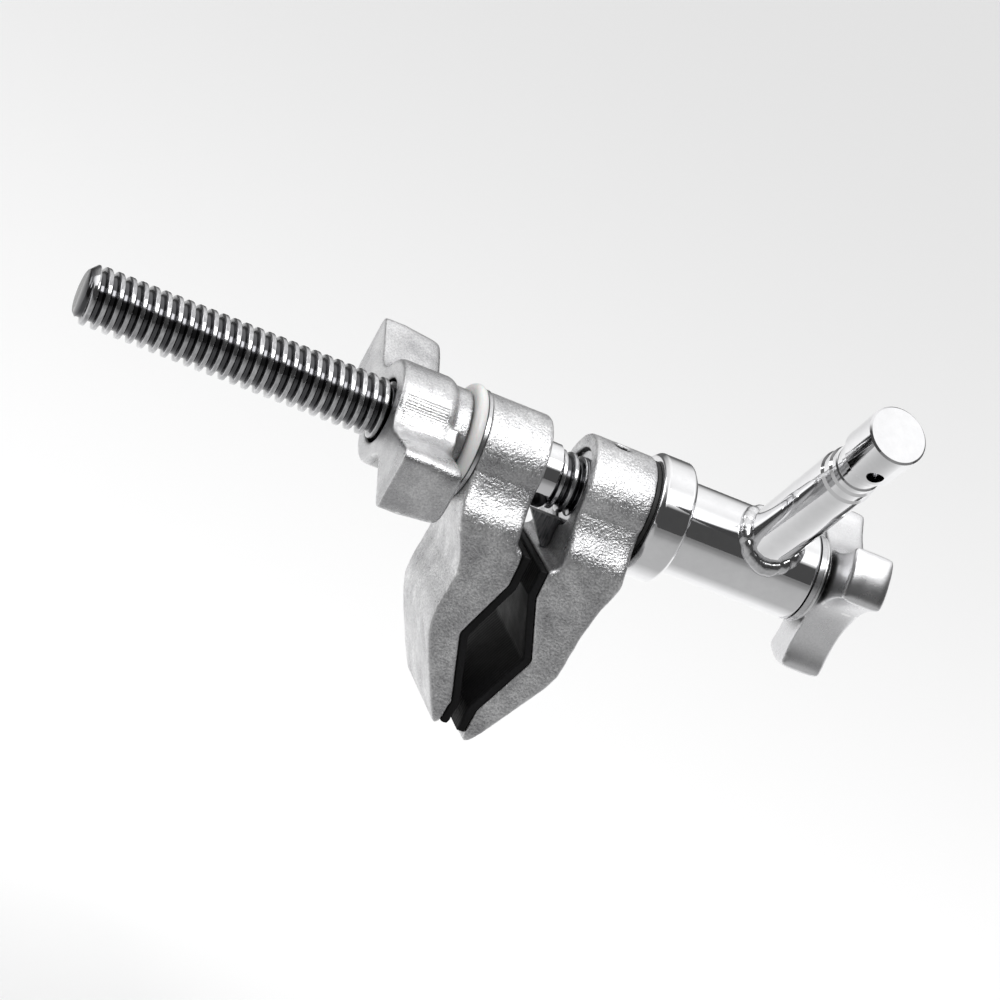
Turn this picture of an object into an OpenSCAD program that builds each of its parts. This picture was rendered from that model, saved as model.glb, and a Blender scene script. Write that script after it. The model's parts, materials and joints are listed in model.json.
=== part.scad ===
// End-jaw screw clamp with a swivelling spigot arm.
// The origin is the middle of the grip between the two V jaws at the rest opening.
// +X runs along the lead screw towards the swivel arm, +Z from the jaw tips up to the screw.

/* [Layout] */
// Height of the lead screw axis above the middle of the grip
axis_h = 42.5; // [40:0.5:46]
// Distance from the grip middle to the inner face of the fixed jaw collar
fixed_x = 5.7; // [5:0.1:7]
// Distance between the facing sides of the two jaw collars at rest
collar_gap = 12.1; // [12:0.1:30]
// Angle of the spigot arm from straight up, leaning towards -Y
arm_angle = 45; // [0:5:180]
// Angle of the wing knob from straight up, leaning towards -Y
wing_angle = 102; // [0:1:180]
// Angle of the first lobe of the lock knob from straight up, leaning towards -Y
lobe_angle = 63; // [0:1:120]

/* [Lead screw] */
// Outside diameter of the 5/8 inch trapezoidal thread
screw_d = 15.875; // [15.8:0.025:15.9]
// Thread pitch, eight turns to the inch
pitch = 3.175; // [3:0.025:3.5]
// Diameter at the bottom of the thread
root_d = 12.7; // [12:0.1:13]
// Free end of the screw, measured from the fixed jaw collar
screw_free = 137.3; // [120:0.1:150]
// Length of screw held inside the fixed jaw
screw_held = 8.8; // [8:0.1:9]

/* [Jaws] */
// Radius of the round collar on top of each jaw
collar_r = 14.5; // [14:0.1:15]
// Thickness of each collar along the screw
collar_w = 17.9; // [17.5:0.1:18.5]
// Half width of the gripping arms
arm_half = 19.4; // [18.5:0.1:20.5]
// Depth below the screw axis where the arms reach full width
flare_z = 13.5; // [12.5:0.5:14.5]
// Thickness of the rubber jaw pads
pad_t = 2.2; // [1.5:0.1:2.3]
// Radius of the ring recess in the fixed jaw
recess_r = 10.4; // [10:0.1:11]
// Depth of the ring recess
recess_d = 3; // [2.5:0.1:3.5]
// Radius of the bore that holds the lead screw and the spindle
jaw_bore_r = 8.02; // [8:0.01:8.1]
// Thickness of the guide key below the screw
key_t = 3; // [2.5:0.1:3.2]
// Radius of the set screw hole in the fixed jaw
set_r = 2.2; // [2:0.1:2.4]

/* [Drive knob] */
// Reach of each wing from the screw axis
wing_r = 36.5; // [34:0.5:40]
// Angle between the middle of a wing and each of its sides
wing_side = 15; // [12:0.5:17]
// Radius of the fillet between a wing and the hub
wing_fillet = 6.5; // [5:0.5:8]
// Radius of the hub
hub_r = 14.2; // [13.5:0.1:14.5]
// Length of the wings along the screw
wing_l = 17.4; // [16:0.1:17.6]
// Length of the whole hub along the screw, shoulder included
hub_l = 20.3; // [20:0.1:21.5]
// Length of the narrow shoulder that meets the nylon washer
shoulder_l = 4.5; // [4:0.1:5]
// Radius of one grip rib
rib_r = 0.3; // [0.2:0.05:0.4]
// Thickness of the nylon thrust washer
nylon_t = 3.2; // [3:0.1:3.6]
// Radius of the nylon thrust washer
nylon_r = 15.4; // [15:0.1:16]
// Outside radius of the nut sleeve that carries the sliding jaw
sleeve_r = 8.75; // [8.7:0.05:8.9]
// Length of sleeve showing past the sliding jaw
sleeve_out = 5.9; // [5:0.1:6.5]

/* [Swivel arm] */
// Outside radius of the swivel tube
tube_r = 12.5; // [12:0.1:13]
// Inside radius of the swivel tube
tube_bore_r = 10.5; // [10:0.1:10.8]
// Radius of the flange ring
ring_r = 16.5; // [16:0.1:17]
// Length of the flange ring
ring_l = 9.7; // [9:0.1:10]
// Length of the swivel tube
tube_l = 48.3; // [46:0.1:50]
// Distance from the fixed jaw collar to the spigot axis
spigot_x = 52.5; // [50:0.5:54]
// Diameter of the 5/8 inch spigot tip
spigot_d = 15.875; // [15.8:0.025:15.9]
// Radius of the spigot shank
shank_r = 7.5; // [7.3:0.1:7.8]
// Distance from the screw axis to the end of the spigot
spigot_h = 77.5; // [75:0.5:80]
// Diameter of the cross hole in the spigot tip
cross_d = 4.5; // [4:0.1:5]
// Radius of the spindle inside the swivel tube
spindle_r = 7; // [6.8:0.05:7.2]

/* [Lock knob] */
// Reach of the lock knob lobes
lock_r = 24; // [23:0.5:25.5]
// Thickness of the lobes along the spindle
lobe_l = 12; // [11.5:0.5:13]
// Half width of one lobe
lobe_half = 8; // [7.5:0.25:8.5]
// Radius of the threaded spindle end
lock_thread_r = 6; // [5.8:0.1:6.1]

/* [Hidden] */
$fn = 72;
eps = 0.01;
run = 0.05;
gap = 0.1;
slide_r_x = -collar_gap;
slide_l_x = slide_r_x - collar_w;
steel_t = 0.9;
steel_l_x = slide_l_x - 0.1 - steel_t;
nylon_l_x = steel_l_x - 0.1 - nylon_t;
knob_r_x = nylon_l_x - gap;
knob_l_x = knob_r_x - hub_l;
ring_l_x = collar_w + 1.2;
tube_end_x = ring_l_x + tube_l;
washer_t = 1.5;
lock_x = tube_end_x + 0.2 + washer_t + 0.05;
spindle_end_x = lock_x + lobe_l + 1.5;
turns = floor((screw_free + screw_held - 2.4) / pitch);
fillet_a = wing_side + asin(wing_fillet / (hub_r + wing_fillet));
fillet_foot = sqrt(pow(hub_r + wing_fillet, 2) - pow(wing_fillet, 2));

// Places a piece drawn about the screw axis into the frame of the part.
module on_axis() {
  translate([fixed_x, 0, axis_h]) children();
}

// A rod along +X from x0 to x1.
module rod(x0, x1, r) {
  translate([x0, 0, 0]) rotate([0, 90, 0]) cylinder(r = r, h = x1 - x0);
}

// A turned body about the X axis from [x, r] points.
module turned(points) {
  rotate([0, 90, 0]) rotate_extrude() polygon([for (p = points) [p[1], p[0]]]);
}

// A side profile in X and Z made w wide across Y.
module side_plate(points, w) {
  rotate([90, 0, 0]) linear_extrude(height = w, center = true) polygon(points);
}

// Outline of the gripping arms seen along the screw, flaring out from under the collar.
module arms_front() {
  flare = [[collar_r - 2, 2], [collar_r + 0.3, -3], [collar_r + 1.2, -6.2],
           [collar_r + 2.7, -9], [arm_half - 0.7, -flare_z + 1.9],
           [arm_half - 0.15, -flare_z], [arm_half, -flare_z - 2], [arm_half, -75]];
  polygon(concat(flare, [for (i = [len(flare) - 1:-1:0]) [-flare[i][0], flare[i][1]]]));
}

// A jaw blank between x0 and x1: the round collar with the arms below it.
module jaw_body(x0, x1) {
  rod(x0, x1, collar_r);
  translate([x0, 0, 0]) rotate([90, 0, 90]) linear_extrude(height = x1 - x0) arms_front();
}

// Gripping side of the fixed jaw from the pad top down to the tip.
fixed_grip = [[-1.7, -19], [-1.9, -26.5], [4.5, -42.7], [-3.2, -60], [-3.5, -66.5]];

// Gripping side of the sliding jaw from the pad top down to the tip.
slide_grip = [for (p = [[2.6, -17.2], [2.4, -26.2], [-3.8, -42.2], [2, -59.7], [1.3, -66]])
              [slide_r_x + p[0], p[1]]];

// A pad of even thickness laid on a gripping side; s is +1 or -1 along X.
module pad(grip, s) {
  n = len(grip);
  side_plate(concat(grip, [for (i = [n - 1:-1:0]) [grip[i][0] + s * pad_t, grip[i][1]]]),
             2 * arm_half - 0.3);
}

// One raised thread ridge wound round the core of the lead screw.
module thread_ridge() {
  seg = 14;
  total = seg * turns;
  base = root_d / 2 - 0.25;
  r0 = base;
  half_base = 1.12;
  half_crest = 0.55;
  function rise(i) = min(1, i / 8, (total - i) / 8);
  points = [for (i = [0:total])
            let (a = 360 * i / seg, x = pitch * i / seg,
                 r = base + (screw_d / 2 - base) * max(0.02, rise(i)))
            for (q = [[-half_base, r0], [-half_crest, r], [half_crest, r], [half_base, r0]])
              [x + q[0], -q[1] * sin(a), q[1] * cos(a)]];
  sides = [for (i = [0:total - 1]) for (k = [0:3])
           let (a = 4 * i + k, b = 4 * i + (k + 1) % 4)
           for (t = [[a, b, a + 4], [b, b + 4, a + 4]]) t];
  ends = [[0, 3, 2], [0, 2, 1],
          [4 * total, 4 * total + 1, 4 * total + 2],
          [4 * total, 4 * total + 2, 4 * total + 3]];
  polyhedron(points = points, faces = concat(sides, ends));
}

module lead_screw() {
  color([0.78, 0.78, 0.8]) on_axis() {
    turned([[-screw_free, 0], [-screw_free, root_d / 2 - 1.2], [-screw_free + 1.2, root_d / 2],
            [screw_held, root_d / 2], [screw_held, 0]]);
    translate([screw_held - turns * pitch - 1.2, 0, 0]) thread_ridge();
  }
}

module fixed_jaw() {
  color([0.72, 0.72, 0.73]) on_axis() difference() {
    intersection() {
      side_plate(concat([[0, 16], [collar_w, 16], [collar_w, -14.2], [collar_w + 0.6, -15.8],
                         [15.6, -23.5], [14, -32], [13, -44], [11.3, -48],
                         [0.8, -65.5], [-1.5, -68.4], [-3.4, -68.9]],
                        [fixed_grip[4], fixed_grip[3], fixed_grip[2], fixed_grip[1]],
                        [[-1.7, -18.6], [-1, -18], [0.6, -17.6], [0.6, -12], [0, -6]]),
                 2 * arm_half);
      jaw_body(-6, 22);
    }
    rod(-8, 24, jaw_bore_r);
    rod(-8, recess_d, recess_r);
    translate([0, -key_t / 2 - eps, -17.6]) cube([8, key_t + 2 * eps, 8.2]);
    translate([8.2, 0, 5]) cylinder(r = set_r, h = 14);
  }
}

module fixed_jaw_pad() {
  color([0.06, 0.06, 0.06]) on_axis() pad(fixed_grip, -1);
}

module screw_seat_ring() {
  color([0.6, 0.6, 0.62]) on_axis()
    turned([[1.4, jaw_bore_r], [1.4, recess_r - 0.5], [1.8, recess_r - 0.02],
            [recess_d - 0.02, recess_r - 0.02], [recess_d - 0.02, jaw_bore_r]]);
}

module jaw_set_screw() {
  color([0.1, 0.1, 0.1]) on_axis() translate([8.2, 0, 8.1]) difference() {
    cylinder(r = set_r - 0.02, h = 3.4);
    translate([0, 0, 1.5]) cylinder(d = 2.3, h = 4, $fn = 6);
  }
}

module guide_key() {
  color([0.3, 0.3, 0.32]) on_axis() difference() {
    side_plate([[-7.4, -9.45], [7.9, -9.45], [7.9, -17.55], [-0.7, -17.55]], key_t);
    rod(1.3, recess_d, recess_r);
  }
}

module swivel_spindle() {
  color([0.7, 0.7, 0.72]) on_axis()
    turned([[screw_held + 0.2, 0], [screw_held + 0.2, jaw_bore_r - 0.02],
            [collar_w - 0.05, jaw_bore_r - 0.02], [collar_w - 0.05, spindle_r],
            [tube_end_x - 0.6, spindle_r], [tube_end_x, spindle_r - 0.6],
            [tube_end_x, lock_thread_r], [spindle_end_x - 0.8, lock_thread_r],
            [spindle_end_x, lock_thread_r - 0.8], [spindle_end_x, 0]]);
}

module friction_washer() {
  color([0.05, 0.05, 0.05]) on_axis() difference() {
    rod(collar_w + 0.05, collar_w + 1.1, collar_r - 0.7);
    rod(collar_w - 1, collar_w + 2, spindle_r + 0.5);
  }
}

module sliding_jaw() {
  color([0.72, 0.72, 0.73]) on_axis() difference() {
    intersection() {
      side_plate(concat([[slide_l_x, 16], [slide_r_x, 16], [slide_r_x, -16],
                         [slide_r_x + 2, -16.4]],
                        slide_grip,
                        [[-12.2, -67.1], [-13, -66], [-16, -61], [-21, -51.5], [-23.3, -46.5],
                         [-24.7, -42.5], [-25, -38.5], [-24.5, -33], [-24, -28.3],
                         [-24.8, -24.3], [-26.4, -20.6], [-28.3, -17], [-29.4, -14.5],
                         [slide_l_x, -11]]),
                 2 * arm_half);
      jaw_body(slide_l_x - 2, 0);
    }
    rod(slide_l_x - 4, 4, sleeve_r + run);
    rod(slide_r_x - 2, 4, 11);
    translate([slide_r_x - 6, -key_t / 2 - 0.3, -22]) cube([12, key_t + 0.6, 13.4]);
  }
}

module sliding_jaw_pad() {
  color([0.06, 0.06, 0.06]) on_axis() difference() {
    pad(slide_grip, 1);
    translate([slide_r_x - 6, -key_t / 2 - 0.5, -22]) cube([12, key_t + 1, 13.4]);
  }
}

module steel_thrust_washer() {
  color([0.6, 0.6, 0.62]) on_axis() difference() {
    rod(steel_l_x, steel_l_x + steel_t, 14.7);
    rod(steel_l_x - 1, slide_l_x + 1, sleeve_r + 0.3);
  }
}

module nylon_washer() {
  color([0.93, 0.93, 0.91]) on_axis() difference() {
    union() {
      rod(nylon_l_x, nylon_l_x + nylon_t, nylon_r - nylon_t / 2);
      translate([nylon_l_x + nylon_t / 2, 0, 0]) rotate([0, 90, 0])
        rotate_extrude() translate([nylon_r - nylon_t / 2, 0]) circle(d = nylon_t);
    }
    rod(nylon_l_x - 2, nylon_l_x + nylon_t + 2, sleeve_r + 0.3);
  }
}

// Half outline of one wing, along the outline X, with the fillet on its +Y side.
module wing_half_outline() {
  c = 2.6;
  corner_y = (wing_r - c) * tan(wing_side) - c / cos(wing_side);
  polygon([[0, -eps], [wing_r, -eps], [wing_r, corner_y],
           [wing_r - c - c * sin(wing_side), corner_y + c * cos(wing_side)]]);
  translate([wing_r - c, corner_y]) circle(r = c);
  difference() {
    polygon([[0, 0], fillet_foot * [cos(wing_side), sin(wing_side)],
             (hub_r + wing_fillet) * [cos(fillet_a), sin(fillet_a)]]);
    rotate(fillet_a) translate([hub_r + wing_fillet, 0]) circle(r = wing_fillet);
  }
}

// The grip ribs beside one wing: first round the hub, then up the fillet.
module grip_ribs() {
  rib_l = 11;
  for (i = [0:6])
    rotate(fillet_a + 3.1 * i) translate([hub_r, 0, 2.6]) cylinder(r = rib_r, h = rib_l, $fn = 16);
  for (i = [1:5])
    rotate(fillet_a) translate([hub_r + wing_fillet, 0, 2.6]) rotate(180 + 6.9 * i)
      translate([wing_fillet, 0, 0]) cylinder(r = rib_r, h = rib_l, $fn = 16);
}

module drive_knob() {
  cast_l = hub_l - shoulder_l;
  color([0.74, 0.74, 0.75]) on_axis() difference() {
    union() {
      turned([[knob_l_x, 0], [knob_l_x, hub_r - 0.8], [knob_l_x + 0.8, hub_r],
              [knob_l_x + cast_l - 2.2, hub_r], [knob_l_x + cast_l - 0.8, hub_r - 0.5],
              [knob_l_x + cast_l, hub_r - 1.3], [knob_r_x, hub_r - 1.3], [knob_r_x, 0]]);
      for (s = [0, 180]) translate([knob_l_x, 0, 0]) rotate([wing_angle - 90 + s, 0, 0])
        rotate([90, 0, 90]) for (m = [0, 1]) mirror([0, m, 0]) {
          linear_extrude(height = wing_l) wing_half_outline();
          grip_ribs();
        }
    }
    rod(knob_l_x - 2, knob_r_x + 2, 8.7);
    rod(knob_l_x + 3.5, knob_r_x + 2, 11);
  }
}

module drive_nut() {
  color([0.78, 0.78, 0.8]) on_axis() difference() {
    turned([[knob_l_x + 3.55, 0], [knob_l_x + 3.55, 10.98], [knob_r_x - 0.1, 10.98],
            [knob_r_x - 0.1, sleeve_r], [slide_r_x - 1.85, sleeve_r],
            [slide_r_x - 1.85, sleeve_r - 0.3], [slide_r_x - 0.6, sleeve_r - 0.3],
            [slide_r_x - 0.6, sleeve_r], [slide_r_x + sleeve_out - 0.5, sleeve_r],
            [slide_r_x + sleeve_out, sleeve_r - 0.4], [slide_r_x + sleeve_out, 0]]);
    rod(knob_l_x, slide_r_x + sleeve_out + 2, screw_d / 2 + 0.08);
  }
}

module nut_retaining_ring() {
  color([0.45, 0.45, 0.47]) on_axis() difference() {
    rod(slide_r_x - 1.8, slide_r_x - 0.65, 10.7);
    rod(slide_r_x - 3, slide_r_x + 1, sleeve_r - 0.28);
    translate([slide_r_x - 3, -2, 6]) cube([4, 4, 8]);
  }
}

module flange_ring() {
  color([0.8, 0.8, 0.82]) on_axis()
    turned([[ring_l_x, tube_r + 0.02], [ring_l_x, ring_r - 1.2], [ring_l_x + 1.2, ring_r],
            [ring_l_x + ring_l - 1.1, ring_r], [ring_l_x + ring_l, ring_r - 1.1],
            [ring_l_x + ring_l, tube_r + 0.02]]);
}

module swivel_tube() {
  color([0.8, 0.8, 0.82]) on_axis()
    turned([[ring_l_x, tube_bore_r], [ring_l_x, tube_r], [tube_end_x - 0.6, tube_r],
            [tube_end_x, tube_r - 0.6], [tube_end_x, tube_bore_r]]);
}

// Turns children drawn along +Z into the spigot direction.
module along_spigot() {
  on_axis() translate([spigot_x, 0, 0]) rotate([arm_angle, 0, 0]) children();
}

module baby_pin() {
  tip_r = spigot_d / 2;
  color([0.8, 0.8, 0.82]) along_spigot() difference() {
    rotate_extrude() polygon([[0, 8], [shank_r, 8], [shank_r, spigot_h - 26],
      [shank_r - 0.45, spigot_h - 25], [shank_r - 0.45, spigot_h - 22.5],
      [shank_r - 0.9, spigot_h - 21.6], [shank_r - 0.9, spigot_h - 20],
      [shank_r - 1.3, spigot_h - 19.6], [shank_r - 1.3, spigot_h - 17.2],
      [shank_r - 0.7, spigot_h - 16.4], [shank_r - 0.7, spigot_h - 14.6],
      [tip_r, spigot_h - 13], [tip_r, spigot_h - 0.5], [tip_r - 0.5, spigot_h], [0, spigot_h]]);
    rotate([0, 90, 0]) cylinder(r = tube_r + 0.02, h = 40, center = true);
    translate([0, 0, spigot_h - 9.8]) rotate([90, 0, 0])
      cylinder(d = cross_d, h = 24, center = true, $fn = 48);
  }
}

module weld_bead() {
  color([0.7, 0.7, 0.72]) along_spigot() difference() {
    rotate_extrude() polygon([[shank_r + 0.02, 8.2], [shank_r + 3.4, 8.2],
      [shank_r + 2.9, 11], [shank_r + 1.6, 13.4], [shank_r + 0.02, 15]]);
    rotate([0, 90, 0]) cylinder(r = tube_r + 0.02, h = 40, center = true);
  }
}

module tube_bush(x0) {
  difference() {
    rod(x0, x0 + 10, tube_bore_r - 0.02);
    rod(x0 - 1, x0 + 11, spindle_r + run);
  }
}

module tube_bush_inner() {
  color([0.72, 0.55, 0.3]) on_axis() tube_bush(ring_l_x + 0.2);
}

module tube_bush_outer() {
  color([0.72, 0.55, 0.3]) on_axis() tube_bush(tube_end_x - 10.2);
}

module lock_washer() {
  color([0.6, 0.6, 0.62]) on_axis() difference() {
    rod(tube_end_x + 0.2, tube_end_x + 0.2 + washer_t, tube_r - 0.3);
    rod(tube_end_x - 1, tube_end_x + 4, lock_thread_r + 0.3);
  }
}

// Three-lobed outline of the lock knob.
module lobe_outline() {
  c = 3.5;
  intersection() {
    difference() {
      circle(r = lock_r);
      for (a = [60:120:300]) rotate(a) translate([31.9, 0]) circle(r = 20.9, $fn = 120);
    }
    union() {
      circle(r = 18);
      for (a = [0:120:240]) rotate(a) {
        square([2 * (lock_r - c), 2 * (lobe_half + 0.3)], center = true);
        translate([0, -lobe_half - 0.3 + c]) square([lock_r, 2 * (lobe_half + 0.3 - c)]);
        for (k = [-1, 1])
          translate([lock_r - c, k * (lobe_half + 0.3 - c)]) circle(r = c, $fn = 48);
      }
    }
  }
}

module lock_knob() {
  color([0.66, 0.66, 0.68]) on_axis() difference() {
    union() {
      rod(lock_x, lock_x + 1.4, 11.8);
      rod(lock_x + 1, lock_x + 4, 10.3);
      translate([lock_x + 2.4, 0, 0]) rotate([lobe_angle - 90, 0, 0]) mirror([0, 1, 0])
        rotate([90, 0, 90]) linear_extrude(height = lobe_l) lobe_outline();
    }
    rod(lock_x - 1, lock_x + lobe_l + 1.8, 8);
  }
}

module lock_knob_insert() {
  color([0.72, 0.55, 0.3]) on_axis() difference() {
    rod(lock_x + 0.1, lock_x + lobe_l + 1.75, 7.98);
    rod(lock_x - 1, lock_x + lobe_l + 3, lock_thread_r + 0.08);
  }
}

lead_screw();
fixed_jaw();
fixed_jaw_pad();
screw_seat_ring();
jaw_set_screw();
guide_key();
swivel_spindle();
friction_washer();
sliding_jaw();
sliding_jaw_pad();
steel_thrust_washer();
nylon_washer();
drive_knob();
drive_nut();
nut_retaining_ring();
flange_ring();
swivel_tube();
baby_pin();
weld_bead();
tube_bush_inner();
tube_bush_outer();
lock_washer();
lock_knob();
lock_knob_insert();
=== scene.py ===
import json
import math
import random

import bpy
import numpy as np
from mathutils import Matrix, Vector, noise


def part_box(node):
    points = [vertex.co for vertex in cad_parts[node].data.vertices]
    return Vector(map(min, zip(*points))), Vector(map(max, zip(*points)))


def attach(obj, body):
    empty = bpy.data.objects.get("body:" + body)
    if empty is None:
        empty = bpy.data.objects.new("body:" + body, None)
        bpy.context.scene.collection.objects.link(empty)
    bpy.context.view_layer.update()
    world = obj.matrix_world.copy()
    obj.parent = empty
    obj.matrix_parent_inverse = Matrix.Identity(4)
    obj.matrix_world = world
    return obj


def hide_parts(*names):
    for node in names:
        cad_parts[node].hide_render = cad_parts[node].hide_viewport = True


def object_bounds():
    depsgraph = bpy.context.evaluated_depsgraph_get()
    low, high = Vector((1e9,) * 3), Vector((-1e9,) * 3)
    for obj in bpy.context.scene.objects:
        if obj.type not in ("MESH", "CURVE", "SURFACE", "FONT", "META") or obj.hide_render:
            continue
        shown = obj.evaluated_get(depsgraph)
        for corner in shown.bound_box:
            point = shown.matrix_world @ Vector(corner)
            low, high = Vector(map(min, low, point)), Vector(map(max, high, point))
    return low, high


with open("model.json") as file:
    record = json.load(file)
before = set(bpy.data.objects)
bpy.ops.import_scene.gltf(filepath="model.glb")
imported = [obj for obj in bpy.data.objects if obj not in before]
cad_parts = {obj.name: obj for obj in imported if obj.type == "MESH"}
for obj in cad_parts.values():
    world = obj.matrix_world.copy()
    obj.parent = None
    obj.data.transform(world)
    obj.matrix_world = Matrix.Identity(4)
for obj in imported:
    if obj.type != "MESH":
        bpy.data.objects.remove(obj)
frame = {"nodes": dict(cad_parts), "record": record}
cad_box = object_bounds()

MM = 0.001
random.seed(7)
NODES = frame["nodes"]
BODY_OF = {}
for body_name, members in frame["record"]["behaviour"]["bodies"].items():
    for member in members:
        BODY_OF[member] = body_name
SLOT_OF = {p["node"]: p["material_slot"] for p in frame["record"]["subparts"]}

tube_low, tube_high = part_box("swivel_tube")
AXIS_Z = (tube_low.z + tube_high.z) / 2
PIN_MOUNT = next(m for m in frame["record"]["mounts"] if m["name"] == "baby_pin")
SPIGOT_AXIS = Vector(PIN_MOUNT["axis"]).normalized()
SPIGOT_X = PIN_MOUNT["pos_m"][0]
ON_AXIS = Matrix.Translation((0, 0, AXIS_Z))


# ---------------------------------------------------------------- materials

# A Mix node has float, vector and colour sockets; these are the colour ones.
MIX_COLOUR_INPUTS = (6, 7)
MIX_COLOUR_OUTPUT = 2


def node_tools(material):
    material.use_nodes = True
    tree = material.node_tree
    return tree, tree.nodes["Principled BSDF"]


def add_node(tree, kind, **values):
    made = tree.nodes.new(kind)
    for key, value in values.items():
        if hasattr(made, key):
            setattr(made, key, value)
        else:
            made.inputs[key.replace("_", " ")].default_value = value
    return made


def noise_node(tree, place, wavelength, detail, roughness):
    """Noise over the object's own coordinates, with its wavelength in metres."""
    made = add_node(tree, "ShaderNodeTexNoise", Scale=1.0 / wavelength, Detail=detail,
                    Roughness=roughness)
    tree.links.new(place, made.inputs["Vector"])
    return made.outputs["Fac"]


def spread(tree, value, low, high, from_low=0.3, from_high=0.7):
    """Maps from_low..from_high, the usual range of noise, onto low..high."""
    made = add_node(tree, "ShaderNodeMapRange")
    tree.links.new(value, made.inputs["Value"])
    for name, number in (("From Min", from_low), ("From Max", from_high),
                         ("To Min", low), ("To Max", high)):
        made.inputs[name].default_value = number
    return made.outputs["Result"]


def blend_colours(tree, factor, first, second):
    """Mixes two colours; each is either three numbers or another node's output."""
    made = add_node(tree, "ShaderNodeMix", data_type="RGBA")
    tree.links.new(factor, made.inputs["Factor"])
    for index, colour in zip(MIX_COLOUR_INPUTS, (first, second)):
        if isinstance(colour, bpy.types.NodeSocket):
            tree.links.new(colour, made.inputs[index])
        else:
            made.inputs[index].default_value = (*colour, 1)
    return made.outputs[MIX_COLOUR_OUTPUT]


def bump_node(tree, height, depth, under=None):
    made = add_node(tree, "ShaderNodeBump", Strength=1.0, Distance=depth)
    tree.links.new(height, made.inputs["Height"])
    if under is not None:
        tree.links.new(under, made.inputs["Normal"])
    return made.outputs["Normal"]


def finish_material(name, colour, dark, metallic, rough, grain, depth, patch=9 * MM,
                    coarse=0.0, stretch=(1, 1, 1), **direct):
    """A finish with grain in its relief, and uneven roughness and tone over larger patches."""
    material = bpy.data.materials.new(name)
    tree, shader = node_tools(material)
    place = add_node(tree, "ShaderNodeTexCoord").outputs["Object"]
    scaled = add_node(tree, "ShaderNodeMapping")
    scaled.inputs["Scale"].default_value = stretch
    tree.links.new(place, scaled.inputs["Vector"])
    shader.inputs["Metallic"].default_value = metallic
    for key, value in direct.items():
        shader.inputs[key.replace("_", " ")].default_value = value
    fine = noise_node(tree, scaled.outputs["Vector"], grain, 3.0, 0.6)
    broad = noise_node(tree, place, patch, 4.0, 0.6)
    tree.links.new(spread(tree, broad, rough[0], rough[1]), shader.inputs["Roughness"])
    tone = add_node(tree, "ShaderNodeMath", operation="MULTIPLY")
    tree.links.new(broad, tone.inputs[0])
    tree.links.new(fine, tone.inputs[1])
    factor = spread(tree, tone.outputs["Value"], 0.0, 1.0, 0.12, 0.4)
    tree.links.new(blend_colours(tree, factor, dark, colour), shader.inputs["Base Color"])
    relief = bump_node(tree, fine, depth)
    if coarse:
        rolling = noise_node(tree, place, grain * 2.8, 2.0, 0.5)
        relief = bump_node(tree, rolling, coarse, under=relief)
    tree.links.new(relief, shader.inputs["Normal"])
    return material


def painted_shade_and_worn_edge_highlight(material, edge_wear_and_highlight):
    """Paints shade into holes and creases, nearly black where ambient occlusion finds them
    enclosed, and lightens the raised edges, partly as wear that handling has polished and partly
    as a painted highlight.
    """
    tree, shader = node_tools(material)
    plain = shader.inputs["Base Color"].links[0].from_socket
    # painted shade: ambient occlusion turns the colour nearly black in holes and creases
    shade = add_node(tree, "ShaderNodeAmbientOcclusion", samples=6, Distance=5 * MM)
    openness = spread(tree, shade.outputs["AO"], 0.0, 1.0, 0.36, 0.84)
    shaded = blend_colours(tree, openness, (0.02, 0.02, 0.02), plain)
    # lighter raised edges: partly polished wear, partly a painted highlight along the edges
    pointed = add_node(tree, "ShaderNodeNewGeometry").outputs["Pointiness"]
    edge = spread(tree, pointed, 0.0, 0.8, 0.515, 0.57)
    tree.links.new(blend_colours(tree, edge, shaded, edge_wear_and_highlight), shader.inputs["Base Color"])
    return material


def darker_roots(material, low, high, dark):
    """Darkens a turned piece towards its axis, as oil and shade darken thread roots."""
    tree, shader = node_tools(material)
    plain = shader.inputs["Base Color"].links[0].from_socket
    place = add_node(tree, "ShaderNodeTexCoord").outputs["Object"]
    moved = add_node(tree, "ShaderNodeMapping")
    moved.inputs["Location"].default_value = (0, 0, -AXIS_Z)
    moved.inputs["Scale"].default_value = (0, 1, 1)
    tree.links.new(place, moved.inputs["Vector"])
    reach = add_node(tree, "ShaderNodeVectorMath", operation="LENGTH")
    tree.links.new(moved.outputs["Vector"], reach.inputs[0])
    factor = spread(tree, reach.outputs["Value"], 0.0, 1.0, low, high)
    tree.links.new(blend_colours(tree, factor, dark, plain), shader.inputs["Base Color"])
    return material


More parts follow.
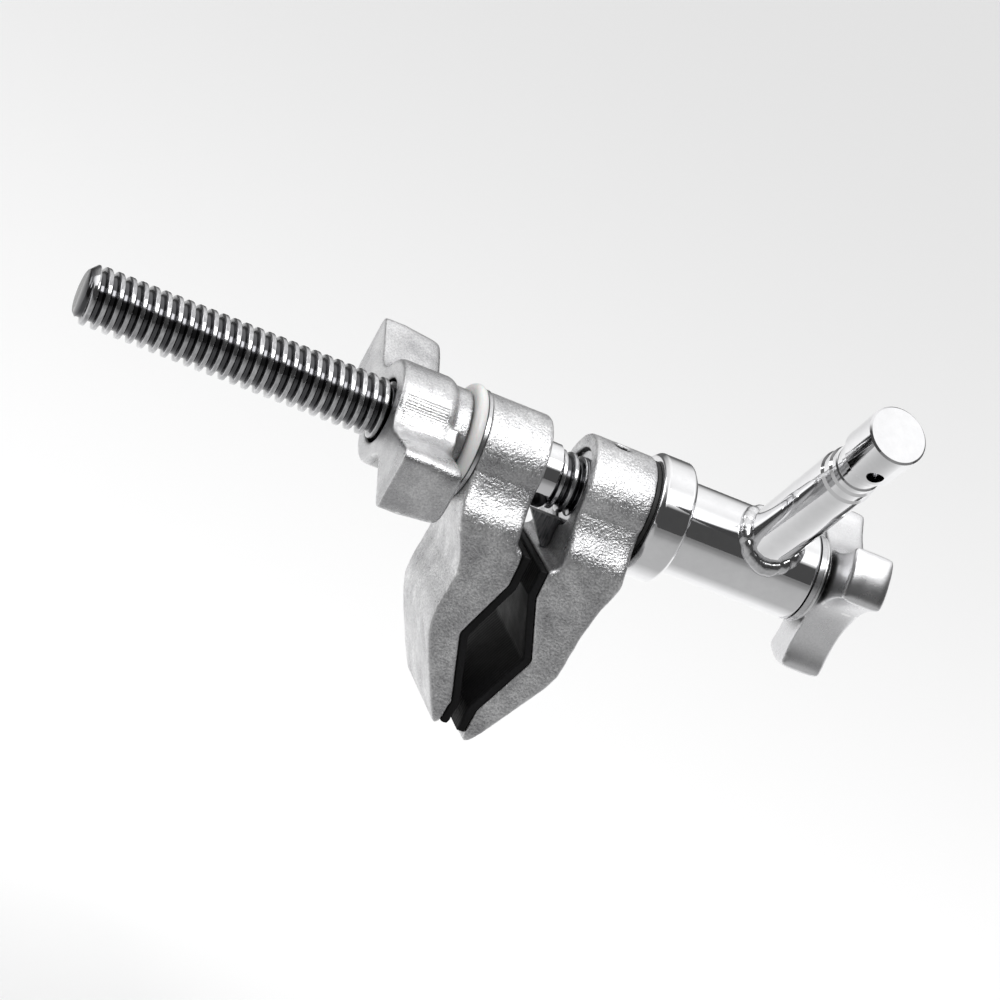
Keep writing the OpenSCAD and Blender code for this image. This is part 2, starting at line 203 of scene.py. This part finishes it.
FINISH = {
    "screw_steel": darker_roots(finish_material(
        "screw_steel", (0.74, 0.74, 0.75), (0.36, 0.36, 0.37), metallic=1.0,
        rough=(0.08, 0.2), grain=0.35 * MM, depth=0.006 * MM, stretch=(1, 0.25, 0.25)),
        low=6.4 * MM, high=7.8 * MM, dark=(0.1, 0.1, 0.105)),
    "jaw_aluminium": painted_shade_and_worn_edge_highlight(finish_material(
        "jaw_aluminium", (0.86, 0.86, 0.865), (0.36, 0.36, 0.37), metallic=0.9,
        rough=(0.26, 0.33), grain=0.6 * MM, depth=0.24 * MM, coarse=0.07 * MM),
        edge_wear_and_highlight=(0.98, 0.98, 0.98)),
    "knob_aluminium": painted_shade_and_worn_edge_highlight(finish_material(
        "knob_aluminium", (0.8, 0.8, 0.805), (0.42, 0.42, 0.43), metallic=0.95,
        rough=(0.25, 0.32), grain=0.5 * MM, depth=0.15 * MM, coarse=0.02 * MM),
        edge_wear_and_highlight=(0.97, 0.97, 0.97)),
    "lock_aluminium": painted_shade_and_worn_edge_highlight(finish_material(
        "lock_aluminium", (0.8, 0.8, 0.81), (0.66, 0.66, 0.67), metallic=1.0,
        rough=(0.24, 0.34), grain=0.5 * MM, depth=0.012 * MM, coarse=0.012 * MM),
        edge_wear_and_highlight=(0.94, 0.94, 0.94)),
    "pad_rubber": finish_material(
        "pad_rubber", (0.012, 0.012, 0.013), (0.005, 0.005, 0.005), metallic=0.0,
        rough=(0.5, 0.68), grain=0.6 * MM, depth=0.06 * MM, Specular_IOR_Level=0.14),
    "plain_steel": finish_material(
        "plain_steel", (0.66, 0.66, 0.67), (0.5, 0.5, 0.51), metallic=1.0,
        rough=(0.16, 0.3), grain=0.3 * MM, depth=0.004 * MM, stretch=(0.3, 1, 1)),
    "key_steel": finish_material(
        "key_steel", (0.36, 0.36, 0.37), (0.05, 0.05, 0.055), metallic=1.0,
        rough=(0.25, 0.5), grain=0.5 * MM, depth=0.03 * MM, stretch=(1, 1, 0.1)),
    "black_steel": finish_material(
        "black_steel", (0.03, 0.03, 0.03), (0.015, 0.015, 0.015), metallic=0.6,
        rough=(0.3, 0.5), grain=0.3 * MM, depth=0.004 * MM),
    "black_fibre": finish_material(
        "black_fibre", (0.02, 0.02, 0.02), (0.01, 0.01, 0.01), metallic=0.0,
        rough=(0.55, 0.75), grain=0.3 * MM, depth=0.02 * MM),
    "white_nylon": finish_material(
        "white_nylon", (0.74, 0.74, 0.73), (0.68, 0.68, 0.67), metallic=0.0,
        rough=(0.3, 0.45), grain=0.8 * MM, depth=0.006 * MM,
        Subsurface_Weight=0.15, Subsurface_Scale=0.002),
    "chrome": finish_material(
        "chrome", (0.86, 0.86, 0.87), (0.8, 0.8, 0.81), metallic=1.0,
        rough=(0.03, 0.075), grain=2.5 * MM, depth=0.0015 * MM, patch=14 * MM),
    "weld_metal": finish_material(
        "weld_metal", (0.8, 0.8, 0.81), (0.55, 0.55, 0.56), metallic=1.0,
        rough=(0.12, 0.26), grain=0.9 * MM, depth=0.05 * MM),
    "bronze": finish_material(
        "bronze", (0.62, 0.45, 0.25), (0.4, 0.28, 0.15), metallic=1.0,
        rough=(0.25, 0.4), grain=0.4 * MM, depth=0.01 * MM),
}


# ------------------------------------------------------------ mesh helpers

def make_object(name, vertices, faces):
    mesh = bpy.data.meshes.new(name)
    mesh.from_pydata([tuple(v) for v in vertices], [], faces)
    mesh.update()
    made = bpy.data.objects.new(name, mesh)
    bpy.context.scene.collection.objects.link(made)
    return made


def stand_in(piece, node, angle):
    """Gives a piece its node's finish and body, and hides the node.

    Edges sharper than angle, in degrees, stay sharp; at 180 none do.
    """
    mesh = piece.data
    mesh.materials.clear()
    mesh.materials.append(FINISH[SLOT_OF[node]])
    mesh.polygons.foreach_set("use_smooth", [True] * len(mesh.polygons))
    if angle < 180:
        mesh.set_sharp_from_angle(angle=math.radians(angle))
    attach(piece, BODY_OF[node])
    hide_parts(node)
    return piece


def points_of(mesh):
    flat = np.zeros(len(mesh.vertices) * 3)
    mesh.vertices.foreach_get("co", flat)
    return flat.reshape(-1, 3)


def set_points(mesh, points):
    mesh.vertices.foreach_set("co", points.ravel())
    mesh.update()


def normals_of(mesh):
    flat = np.zeros(len(mesh.vertices) * 3)
    mesh.vertex_normals.foreach_get("vector", flat)
    return flat.reshape(-1, 3)


def relax(mesh, passes, weight=None):
    """Rounds a dense mesh by moving each point towards its neighbours; weight may vary."""
    points = points_of(mesh)
    ends = np.zeros(len(mesh.edges) * 2, np.int64)
    mesh.edges.foreach_get("vertices", ends)
    first, second = ends.reshape(-1, 2).T
    count = np.bincount(ends, minlength=len(points)).astype(float)
    share = 0.6 * (np.ones(len(points)) if weight is None else weight(points))
    for _ in range(passes):
        for axis in range(3):
            column = points[:, axis]
            total = (np.bincount(first, column[second], len(points))
                     + np.bincount(second, column[first], len(points)))
            points[:, axis] = column + share * (total / count - column)
    set_points(mesh, points)


def roughen(mesh, wavelength, height):
    """Pushes points in along their normals by smooth noise, as a cast skin is uneven."""
    points, normals = points_of(mesh), normals_of(mesh)
    amounts = np.array([noise.noise(Vector(p) / wavelength) for p in points])
    set_points(mesh, points + normals * ((amounts - 1) * 0.5 * height)[:, None])


def remeshed_copy(name, node, voxel):
    source = NODES[node].data.copy()
    piece = bpy.data.objects.new(name, source)
    bpy.context.scene.collection.objects.link(piece)
    step = piece.modifiers.new("grid", "REMESH")
    step.mode = "VOXEL"
    step.voxel_size = voxel
    graph = bpy.context.evaluated_depsgraph_get()
    mesh = bpy.data.meshes.new_from_object(piece.evaluated_get(graph))
    piece.modifiers.clear()
    piece.data = mesh
    mesh.name = name
    return piece


def cast_piece(name, node, voxel, passes, weight, uneven, wavelength, added=None):
    """A casting: the node's shape rounded off and left uneven, with fine details added last."""
    piece = remeshed_copy(name, node, voxel)
    relax(piece.data, passes, weight)
    roughen(piece.data, wavelength, uneven)
    if added:
        add_shells(piece.data, *added)
    return stand_in(piece, node, 180)


def add_shells(mesh, vertices, faces):
    """Joins more closed shells to a mesh."""
    old = [tuple(v.co) for v in mesh.vertices]
    old_faces = [tuple(p.vertices) for p in mesh.polygons]
    start = len(old)
    mesh.clear_geometry()
    mesh.from_pydata(old + [tuple(v) for v in vertices], [],
                     old_faces + [tuple(start + i for i in f) for f in faces])
    mesh.update()


def capsule(start, stop, radius, around=10, cap=3):
    """A round-ended rod as vertices and faces."""
    along = (stop - start).normalized()
    side = along.orthogonal().normalized()
    other = along.cross(side)
    rings = []
    for k in range(1, cap + 1):
        a = math.pi / 2 * k / cap
        rings.append((start - along * radius * math.cos(a), radius * math.sin(a)))
    for k in range(cap, 0, -1):
        a = math.pi / 2 * k / cap
        rings.append((stop + along * radius * math.cos(a), radius * math.sin(a)))
    vertices = [start - along * radius]
    for middle, r in rings:
        for m in range(around):
            a = 2 * math.pi * m / around
            vertices.append(middle + r * (side * math.cos(a) + other * math.sin(a)))
    vertices.append(stop + along * radius)
    faces = []
    last = len(vertices) - 1
    for m in range(around):
        n = (m + 1) % around
        faces.append((0, 1 + n, 1 + m))
        for k in range(len(rings) - 1):
            a, b = 1 + k * around, 1 + (k + 1) * around
            faces.append((a + m, a + n, b + n, b + m))
        end = 1 + (len(rings) - 1) * around
        faces.append((end + m, end + n, last))
    return vertices, faces


def rounded(profile, radius, steps=4):
    """A closed profile of (x, r) points with its corners turned into arcs."""
    made = []
    count = len(profile)
    for i, corner in enumerate(profile):
        corner = np.array(corner, float)
        before = np.array(profile[i - 1], float) - corner
        after = np.array(profile[(i + 1) % count], float) - corner
        long_before, long_after = np.linalg.norm(before), np.linalg.norm(after)
        reach = min(radius, 0.42 * long_before, 0.42 * long_after)
        start = corner + before / long_before * reach
        stop = corner + after / long_after * reach
        for k in range(steps + 1):
            t = k / steps
            made.append(tuple((1 - t) ** 2 * start + 2 * t * (1 - t) * corner + t * t * stop))
    return made


def lathe(name, profile, steps=160):
    """Turns a closed profile of (x, r) points about the screw's axis."""
    vertices, faces = [], []
    count = len(profile)
    for i in range(steps):
        angle = 2 * math.pi * i / steps
        for x, r in profile:
            vertices.append(ON_AXIS @ Vector((x, -r * math.sin(angle), r * math.cos(angle))))
    for i in range(steps):
        j = (i + 1) % steps
        for k in range(count):
            m = (k + 1) % count
            faces.append((i * count + k, j * count + k, j * count + m, i * count + m))
    return make_object(name, vertices, faces)


# ------------------------------------------------------------- lead screw

THREAD_ROOT, THREAD_PITCH = 6.35 * MM, 3.175 * MM
THREAD_FOOT, THREAD_FLANK = 0.36, 0.22  # in pitches: half the ridge's foot, and one flank
CHAMFER_DROP, CHAMFER_SLOPE = 0.5 * MM, 1.05  # below the root at the free end, then rising


def screw_radius(x, angle, free_end, crest):
    """Radius of the rolled thread: round crests, sloping flanks and a chamfered free end."""
    phase = (x - angle / (2 * math.pi) * THREAD_PITCH) / THREAD_PITCH
    away = abs((phase + 0.5) % 1.0 - 0.5)
    t = min(max((THREAD_FOOT - away) / THREAD_FLANK, 0.0), 1.0)
    height = t * t * (3 - 2 * t)
    radius = THREAD_ROOT + (crest - THREAD_ROOT) * height
    return min(radius, THREAD_ROOT - CHAMFER_DROP + (x - free_end) * CHAMFER_SLOPE)


def build_lead_screw():
    low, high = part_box("lead_screw")
    crest = (high.z - low.z) / 2
    rows, columns = 980, 72
    vertices, faces = [], []
    for i in range(rows):
        x = low.x + (high.x - low.x) * i / (rows - 1)
        for k in range(columns):
            angle = 2 * math.pi * k / columns
            r = screw_radius(x, angle, low.x, crest)
            vertices.append((x, -r * math.sin(angle), AXIS_Z + r * math.cos(angle)))
    for i in range(rows - 1):
        for k in range(columns):
            m = (k + 1) % columns
            faces.append((i * columns + k, i * columns + m,
                          (i + 1) * columns + m, (i + 1) * columns + k))
    faces.append(tuple(reversed(range(columns))))
    faces.append(tuple((rows - 1) * columns + k for k in range(columns)))
    stand_in(make_object("lead_screw_thread", vertices, faces), "lead_screw", 60)


build_lead_screw()


# --------------------------------------------------------------- castings

def rise(values, start, width):
    """0 up to start, then 1 from start + width on."""
    return np.clip((values - start) / width, 0, 1)


def jaw_weight(points):
    """The flare under each collar is well rounded; the rest of a jaw only loses its edges."""
    below = AXIS_Z - points[:, 2]
    flare = (rise(below, 1 * MM, 4 * MM) * rise(-below, -20 * MM, 4 * MM)
             * rise(np.abs(points[:, 1]), 11 * MM, 3 * MM))
    return 0.3 + 0.7 * flare


for jaw in ("fixed_jaw", "sliding_jaw"):
    cast_piece(jaw + "_casting", jaw, voxel=0.45 * MM, passes=32, weight=jaw_weight,
               uneven=0.07 * MM, wavelength=1.7 * MM)

knob_low, knob_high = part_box("drive_knob")


def knob_weight(points):
    """The wings are crisp on their outer face and well rounded towards the jaws."""
    x = (points[:, 0] - knob_low.x) / (knob_high.x - knob_low.x)
    r = np.hypot(points[:, 1], points[:, 2] - AXIS_Z)
    wings = rise(r, 15.5 * MM, 3 * MM)
    return 0.03 + 0.97 * wings * np.clip(2.6 * (x - 0.3), 0, 1)


def knob_ribs():
    """Fine grip ribs along the hub and up the fillets on both sides of each wing."""
    wing, side = math.radians(102), math.radians(15)
    hub, fillet = 14.2 * MM, 6.5 * MM
    hub_ribs, hub_step = 7, math.radians(3.1)
    fillet_ribs, fillet_step = 5, math.radians(6.9)
    buried, rib_radius = 0.06 * MM, 0.3 * MM
    rib_start, rib_length = 1.9 * MM, Vector((11.2 * MM, 0, 0))
    foot = side + math.asin(fillet / (hub + fillet))
    places = [(foot + hub_step * i, hub - buried) for i in range(hub_ribs)]
    for i in range(1, fillet_ribs + 1):
        turn = foot + math.pi + fillet_step * i
        y = (hub + fillet) * math.cos(foot) + (fillet + buried) * math.cos(turn)
        z = (hub + fillet) * math.sin(foot) + (fillet + buried) * math.sin(turn)
        places.append((math.atan2(z, y), math.hypot(y, z)))
    vertices, faces = [], []
    for half_turn in (0, math.pi):
        for mirrored in (1, -1):
            for angle, reach in places:
                a = wing + half_turn + mirrored * angle
                low = Vector((knob_low.x + rib_start, -reach * math.sin(a),
                              AXIS_Z + reach * math.cos(a)))
                rib_vertices, rib_faces = capsule(low, low + rib_length, rib_radius)
                first = len(vertices)
                vertices.extend(rib_vertices)
                faces.extend(tuple(first + i for i in f) for f in rib_faces)
    return vertices, faces


lock_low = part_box("lock_knob")[0]


def lock_weight(points):
    """The lobes are well rounded and the turned ring at the tube end stays crisp."""
    x = points[:, 0] - lock_low.x
    r = np.hypot(points[:, 1], points[:, 2] - AXIS_Z)
    lobes = rise(x, 2.2 * MM, 0.8 * MM) * rise(r, 9 * MM, 2 * MM)
    return 0.08 + 0.92 * lobes


cast_piece("drive_knob_casting", "drive_knob", voxel=0.4 * MM, passes=190,
           weight=knob_weight, uneven=0.05 * MM, wavelength=2.2 * MM, added=knob_ribs())
cast_piece("lock_knob_casting", "lock_knob", voxel=0.35 * MM, passes=110,
           weight=lock_weight, uneven=0.03 * MM, wavelength=5 * MM)


def build_pad(name, node, inward):
    """A moulded pad with shallow waves pressed in across the grip."""
    wave_reach, bend_reach, bend, half_depth = 0.24 * MM, 4.0 * MM, 1.6, 0.05 * MM
    piece = remeshed_copy(name, node, 0.4 * MM)
    relax(piece.data, 3)
    points, normals = points_of(piece.data), normals_of(piece.data)
    facing = np.clip(normals[:, 0] * inward, 0, 1)
    wave = np.sin(points[:, 1] / wave_reach + bend * np.sin(points[:, 2] / bend_reach))
    set_points(piece.data, points + normals * (facing * (wave - 1) * half_depth)[:, None])
    stand_in(piece, node, 180)


build_pad("fixed_jaw_grip_pad", "fixed_jaw_pad", -1)
build_pad("sliding_jaw_grip_pad", "sliding_jaw_pad", 1)


def turned_piece(name, node, profile, radius):
    piece = stand_in(lathe(name, rounded(profile, radius)), node, 60)
    piece.modifiers.new("flat_faces", "WEIGHTED_NORMAL").keep_sharp = True


def ring_profile(node, bore, chamfer):
    """The outline of a plain ring with chamfered outer edges, from its node's box."""
    low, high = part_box(node)
    outer = (high.y - low.y) / 2
    return [(low.x, bore), (low.x, outer - chamfer), (low.x + chamfer, outer),
            (high.x - chamfer, outer), (high.x, outer - chamfer), (high.x, bore)]


tube_r = (tube_high.z - tube_low.z) / 2
turned_piece("flange_ring_chromed", "flange_ring",
             ring_profile("flange_ring", tube_r + 0.02 * MM, 1.15 * MM), 0.5 * MM)
turned_piece("swivel_tube_chromed", "swivel_tube",
             ring_profile("swivel_tube", tube_r - 2 * MM, 0.6 * MM), 0.4 * MM)


def finish_cad_nodes():
    """Nodes whose shape is right keep it, with softened edges and a proper finish."""
    for name, node in NODES.items():
        if node.hide_render:
            continue
        for place in node.material_slots:
            place.material = FINISH[SLOT_OF[name]]
        edge = node.modifiers.new("soft_edges", "BEVEL")
        edge.width = 0.12 * MM
        edge.segments = 2
        edge.limit_method = "ANGLE"
        edge.angle_limit = math.radians(40)


# ------------------------------------------------------------- weld bead

def build_weld_bead():
    """An uneven fillet of overlapping beads where the spigot meets the swivel tube."""
    shank = 7.5 * MM
    side = Vector((1, 0, 0))
    across = SPIGOT_AXIS.cross(side).normalized()
    centre = Vector((SPIGOT_X, 0, AXIS_Z))
    beads, around, steps = 17, 16, 306
    widths = [random.uniform(2.3, 2.8) * MM for _ in range(beads)]
    vertices, faces = [], []
    for i in range(steps):
        turn = 2 * math.pi * i / steps
        t = i / steps * beads
        k = int(t) % beads
        part = t - int(t)
        ripple = math.sin(math.pi * part) ** 0.7
        blend = widths[k] * (1 - part) + widths[(k + 1) % beads] * part
        calm = 0.5 + 0.5 * noise.noise(Vector((1.3 * math.cos(turn), 1.3 * math.sin(turn), 5)))
        width = blend * (0.93 + 0.08 * ripple * min(1.0, 1.6 * calm))
        out = side * math.cos(turn) + across * math.sin(turn)
        offset = (shank + 0.25 * MM) * math.sin(turn)
        height = math.sqrt(max(tube_r ** 2 - offset ** 2, 0))
        middle = centre + out * (shank - 0.1 * MM) + SPIGOT_AXIS * (height - 0.35 * MM)
        for m in range(around):
            a = 2 * math.pi * m / around
            lump = width * (1 + 0.1 * noise.noise(Vector((5 * math.cos(turn), 5 * math.sin(turn),
                                                         1.5 * math.cos(a)))))
            vertices.append(middle + out * (lump * math.cos(a))
                            + SPIGOT_AXIS * (1.05 * lump * math.sin(a)))
    for i in range(steps):
        j = (i + 1) % steps
        for m in range(around):
            n = (m + 1) % around
            faces.append((i * around + m, j * around + m, j * around + n, i * around + n))
    stand_in(make_object("spigot_weld_bead", vertices, faces), "weld_bead", 180)


build_weld_bead()
finish_cad_nodes()


# ---------------------------------------------------------- floor and light

def grey_ramp(tree, value, stops):
    """Greys along a value from 0 to 1: stops are (value, grey), in rising order."""
    ramp = add_node(tree, "ShaderNodeValToRGB")
    tree.links.new(value, ramp.inputs["Fac"])
    elements = ramp.color_ramp.elements
    while len(elements) < len(stops):
        elements.new(0.5)
    for element, (position, grey) in zip(elements, stops):
        element.position = position
        element.color = (grey, grey, grey, 1)
    return ramp.outputs["Color"]


def build_floor():
    """A floor painted with a gradient of shade that follows Y: dark on the near side, so that
    polished metal reflects dark there, and pale beyond the object."""
    near_edge, far_edge = -1.1, 0.4
    painted_shade_greys = [(0.12, 0.24), (0.34, 0.34), (0.71, 0.42), (0.81, 0.88), (1.0, 0.93)]
    half, drop = 14.0, 0.16
    level = cad_box[0].z - drop
    corners = [(-half, -half, level), (half, -half, level), (half, half, level),
               (-half, half, level)]
    floor = make_object("floor", corners, [(0, 1, 2, 3)])
    material = bpy.data.materials.new("floor_paint")
    tree, shader = node_tools(material)
    place = add_node(tree, "ShaderNodeTexCoord").outputs["Object"]
    parts = add_node(tree, "ShaderNodeSeparateXYZ")
    tree.links.new(place, parts.inputs["Vector"])
    # painted shade: the floor's colour darkens from pale beyond the object to dark grey on its
    # near side
    along = spread(tree, parts.outputs["Y"], 0.0, 1.0, near_edge, far_edge)
    tree.links.new(grey_ramp(tree, along, painted_shade_greys), shader.inputs["Base Color"])
    shader.inputs["Roughness"].default_value = 0.9
    floor.data.materials.append(material)


def soft_light(name, place, target, size, power):
    lamp = bpy.data.lights.new(name, "AREA")
    lamp.shape = "RECTANGLE"
    lamp.size, lamp.size_y = size
    lamp.energy = power
    made = bpy.data.objects.new(name, lamp)
    made.location = place
    made.rotation_euler = (Vector(target) - Vector(place)).to_track_quat("-Z", "Y").to_euler()
    bpy.context.scene.collection.objects.link(made)


def build_world():
    """A white overhead dome over a dark studio, which is a little lighter beyond the object.

    Each stop is (sine of the elevation, grey).
    """
    world = bpy.data.worlds.new("studio")
    bpy.context.scene.world = world
    world.use_nodes = True
    tree = world.node_tree
    background = tree.nodes["Background"]
    place = add_node(tree, "ShaderNodeTexCoord").outputs["Generated"]
    parts = add_node(tree, "ShaderNodeSeparateXYZ")
    tree.links.new(place, parts.inputs["Vector"])
    near = [(-1, 0.1), (0, 0.045), (0.6, 0.045), (0.72, 1.0), (0.87, 0.95), (0.93, 0.66),
            (1, 0.62)]
    far = [(-1, 0.3), (0, 0.1), (0.25, 0.09), (0.4, 0.3), (0.62, 0.6), (1, 0.8)]
    skies = []
    for stops in (near, far):
        height = spread(tree, parts.outputs["Z"], 0, 1, -1, 1)
        skies.append(grey_ramp(tree, height, [((sine + 1) / 2, grey) for sine, grey in stops]))
    side = spread(tree, parts.outputs["Y"], 0.0, 1.0, -0.2, 0.2)
    tree.links.new(blend_colours(tree, side, *skies), background.inputs["Color"])
    background.inputs["Strength"].default_value = 1.55


build_floor()
build_world()
centre = (cad_box[0] + cad_box[1]) / 2
soft_light("key_softbox", (0.12, -0.8, 1.35), centre, (0.9, 0.7), 13)
soft_light("side_softbox", (-1.6, 0.5, 0.7), centre, (0.8, 0.8), 5)


# ------------------------------------------------------------------ camera

def build_camera():
    data = bpy.data.cameras.new("camera")
    data.sensor_width = 36.0
    data.lens = 157.77
    data.clip_start = 0.05
    data.clip_end = 60.0
    camera = bpy.data.objects.new("camera", data)
    camera.location = (-0.3470, -1.0420, 0.2840)
    camera.rotation_euler = [math.radians(a) for a in (75.684, -24.867, -11.801)]
    bpy.context.scene.collection.objects.link(camera)
    bpy.context.scene.camera = camera


build_camera()
bpy.context.scene.view_settings.view_transform = "Standard"
